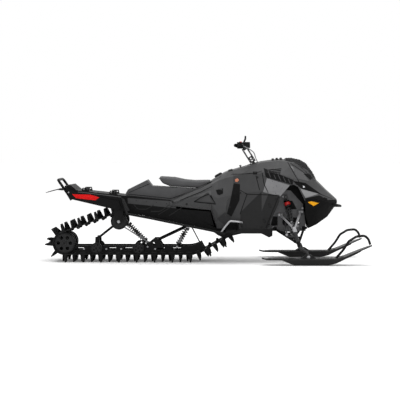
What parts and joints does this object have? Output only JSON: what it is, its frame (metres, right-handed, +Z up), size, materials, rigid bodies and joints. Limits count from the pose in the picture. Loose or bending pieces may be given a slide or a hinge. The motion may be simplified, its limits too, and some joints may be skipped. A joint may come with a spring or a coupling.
{
  "type": "snowmobile",
  "caption": "Long-track mountain snowmobile with a paddle track, sprung skid, steered skis, faceted body panels, seat and handlebar.",
  "frame": {"origin": "on the ground, under the middle of the machine's length and width", "axes": "+X points forward, +Y to the rider's left, +Z up"},
  "size_m": [3.2234, 1.095, 1.263],
  "materials": {
    "track_rubber": "matte moulded rubber",
    "black_metal": "satin black powder coat",
    "slide_plastic": "dense black wear plastic",
    "wheel_plastic": "black moulded wheel with rubber tyre",
    "bare_aluminium": "plain extruded shaft",
    "shock_body": "black damper body",
    "spring_steel": "painted coil spring",
    "strap_webbing": "woven black webbing",
    "dark_plastic": "moulded black plastic",
    "red_lens": "red lamp lens",
    "flap_rubber": "flexible black rubber",
    "seat_cover": "gripper vinyl",
    "grey_plastic": "moulded dark grey plastic",
    "silver_plastic": "satin silver-grey accent",
    "lamp_lens": "clear lens over a grey reflector",
    "amber_lens": "amber lens",
    "shield_plastic": "dark moulded screen",
    "pad_rubber": "ribbed grey rubber",
    "silver_metal": "satin silver",
    "cast_engine": "cast block",
    "cast_metal": "dark forged upright",
    "ski_plastic": "moulded black ski",
    "grip_rubber": "ribbed grip rubber",
    "cable_rubber": "black cable housing"
  },
  "bodies": {
    "chassis": {"track": "track_rubber", "skid_rails": "black_metal", "slides": "slide_plastic", "rear_idlers": "wheel_plastic", "carrier_wheels": "wheel_plastic", "bogie_wheels": "wheel_plastic", "drive_axle": "bare_aluminium", "rear_arm": "black_metal", "front_arm": "black_metal", "skid_shocks": "shock_body", "front_shocks": "shock_body", "coil_springs": "spring_steel", "limiter_strap": "strap_webbing", "tunnel": "black_metal", "running_board_left": "black_metal", "running_board_right": "black_metal", "drop_brackets": "black_metal", "rear_bumper": "black_metal", "tail_cover": "dark_plastic", "tail_lamps": "red_lens", "snow_flap": "flap_rubber", "cargo_anchors": "dark_plastic", "seat_base": "dark_plastic", "seat_cushion": "seat_cover", "console": "grey_plastic", "hood": "grey_plastic", "side_panel_left": "dark_plastic", "side_panel_right": "dark_plastic", "side_accents": "silver_plastic", "nose_pan": "dark_plastic", "belly_pan": "dark_plastic", "headlamps": "lamp_lens", "side_markers": "amber_lens", "intake_screens": "shield_plastic", "console_liners": "dark_plastic", "foot_pads": "pad_rubber", "toe_holds": "silver_metal", "windshield": "shield_plastic", "front_bumper": "black_metal", "front_frame": "black_metal", "engine": "cast_engine", "upper_arms": "silver_metal", "lower_arms": "black_metal"},
    "steering": {"steering_post": "silver_metal", "handlebar": "black_metal", "grips": "grip_rubber", "hand_controls": "dark_plastic", "grab_strap": "strap_webbing", "control_cables": "cable_rubber", "instrument_pod": "dark_plastic"},
    "upright_right": {"spindle_right": "cast_metal"},
    "rod_right": {"tie_rod_right": "silver_metal"},
    "runner_right": {"ski_right": "ski_plastic", "ski_loop_right": "dark_plastic"},
    "upright_left": {"spindle_left": "cast_metal"},
    "rod_left": {"tie_rod_left": "silver_metal"},
    "runner_left": {"ski_left": "ski_plastic", "ski_loop_left": "dark_plastic"}
  },
  "joints": [
    {"name": "handlebar_steer", "type": "hinge", "parent": "chassis", "child": "steering", "pos_m": [0.463, 0, 0.99801], "axis": [-0.5299, 0, 0.848], "range_deg": [-38, 38]},
    {"name": "ski_steer_right", "type": "hinge", "parent": "chassis", "child": "upright_right", "pos_m": [0.858, -0.4, 0.348], "axis": [-0.2756, 0, 0.9613], "range_deg": [-30, 30]},
    {"name": "tie_rod_pivot_right", "type": "hinge", "parent": "upright_right", "child": "rod_right", "pos_m": [0.78865, -0.4, 0.276], "axis": [-0.2756, 0, 0.9613], "range_deg": [-30, 30]},
    {"name": "ski_rock_right", "type": "hinge", "parent": "upright_right", "child": "runner_right", "pos_m": [0.99, -0.455, 0.082], "axis": [0, 1, 0], "range_deg": [-25, 12]},
    {"name": "ski_steer_left", "type": "hinge", "parent": "chassis", "child": "upright_left", "pos_m": [0.858, 0.4, 0.348], "axis": [-0.2756, 0, 0.9613], "range_deg": [-30, 30]},
    {"name": "tie_rod_pivot_left", "type": "hinge", "parent": "upright_left", "child": "rod_left", "pos_m": [0.78865, 0.4, 0.276], "axis": [-0.2756, 0, 0.9613], "range_deg": [-30, 30]},
    {"name": "ski_rock_left", "type": "hinge", "parent": "upright_left", "child": "runner_left", "pos_m": [0.99, 0.455, 0.082], "axis": [0, 1, 0], "range_deg": [-25, 12]}
  ],
  "couplings": [
    {"joint": "ski_steer_right", "follows": "handlebar_steer", "ratio": 0.78},
    {"joint": "tie_rod_pivot_right", "follows": "handlebar_steer", "ratio": -0.78},
    {"joint": "ski_steer_left", "follows": "handlebar_steer", "ratio": 0.78},
    {"joint": "tie_rod_pivot_left", "follows": "handlebar_steer", "ratio": -0.78}
  ]
}
